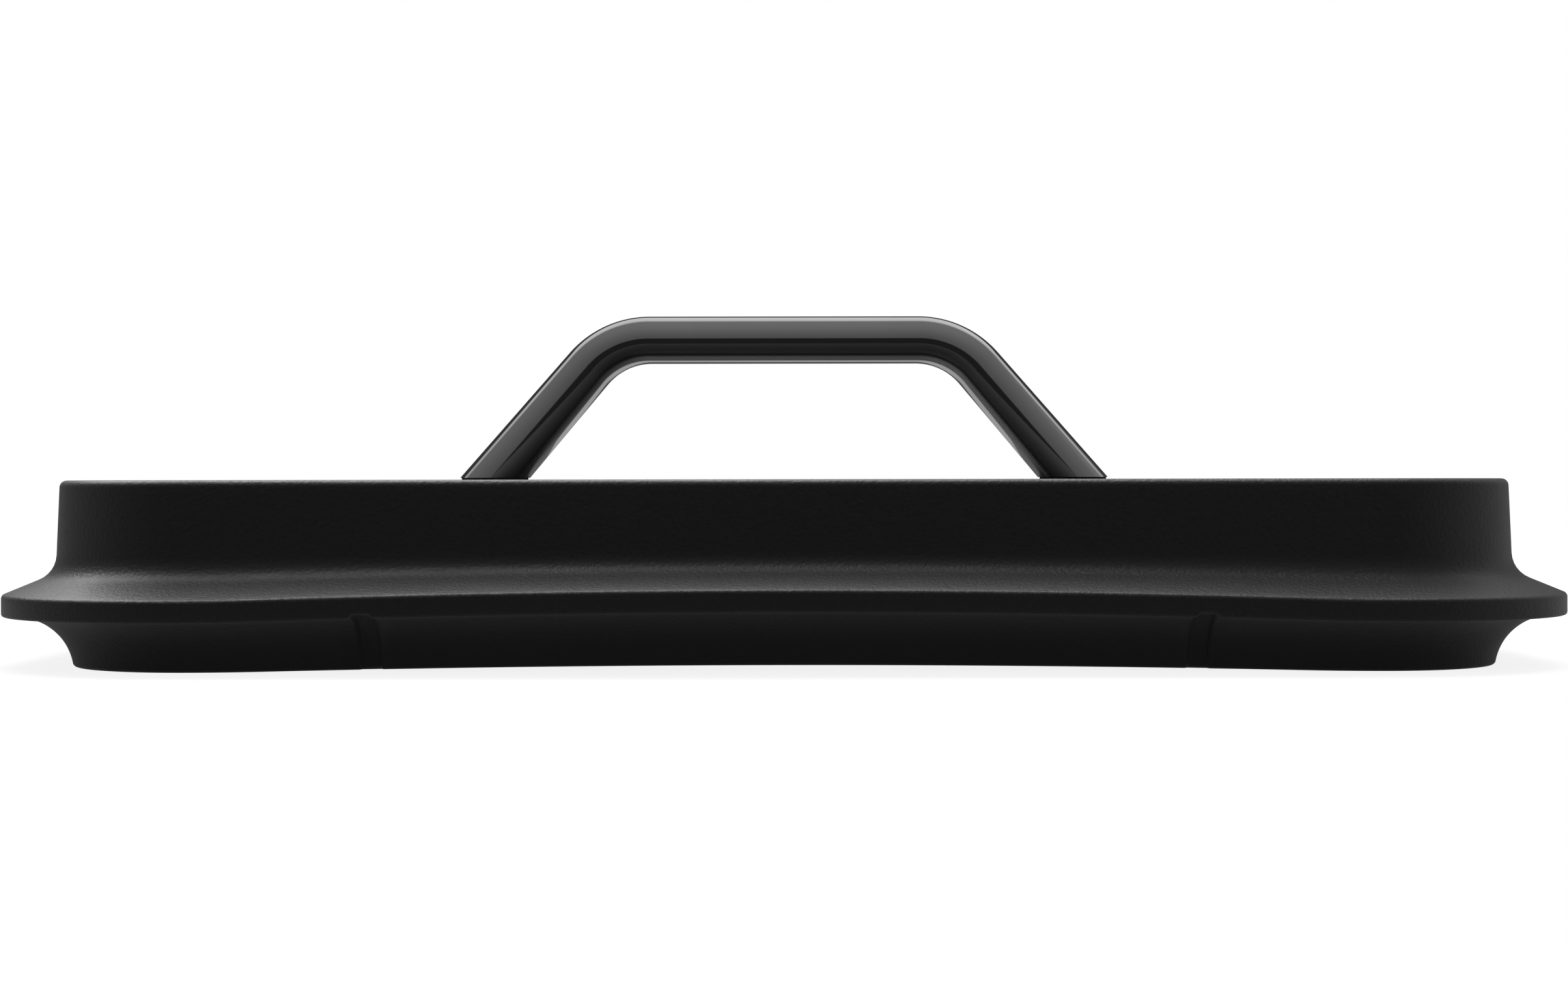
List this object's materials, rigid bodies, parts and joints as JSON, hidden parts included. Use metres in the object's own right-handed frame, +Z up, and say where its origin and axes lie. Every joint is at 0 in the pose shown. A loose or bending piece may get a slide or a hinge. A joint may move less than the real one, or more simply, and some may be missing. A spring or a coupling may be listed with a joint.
{
  "type": "roasting pot lid",
  "caption": "Rectangular cast roasting-pot lid: low domed shell with sloping flange, locating skirt with steam vents, and a thick bent strap handle screwed on from below",
  "frame": {"origin": "centre of the footprint, at the height of the lowest edge of the skirt, which the lid rests on", "axes": "+X along the long side, +Y along the short side away from the viewer of the picture, +Z up through the handle"},
  "size_m": [0.448, 0.268, 0.1045],
  "materials": {
    "coated_casting": "matt black non-stick coating on cast aluminium, fine grain",
    "dark_chrome": "polished dark chrome on a cast aluminium strap",
    "gasket": "black heat-resistant silicone sheet",
    "stainless": "plain stainless steel"
  },
  "bodies": {
    "root": {"lid_body": "coated_casting", "handle": "dark_chrome", "foot_gaskets": "gasket", "flat_washers": "stainless", "spring_washers": "stainless", "handle_screws": "stainless"}
  },
  "joints": []
}
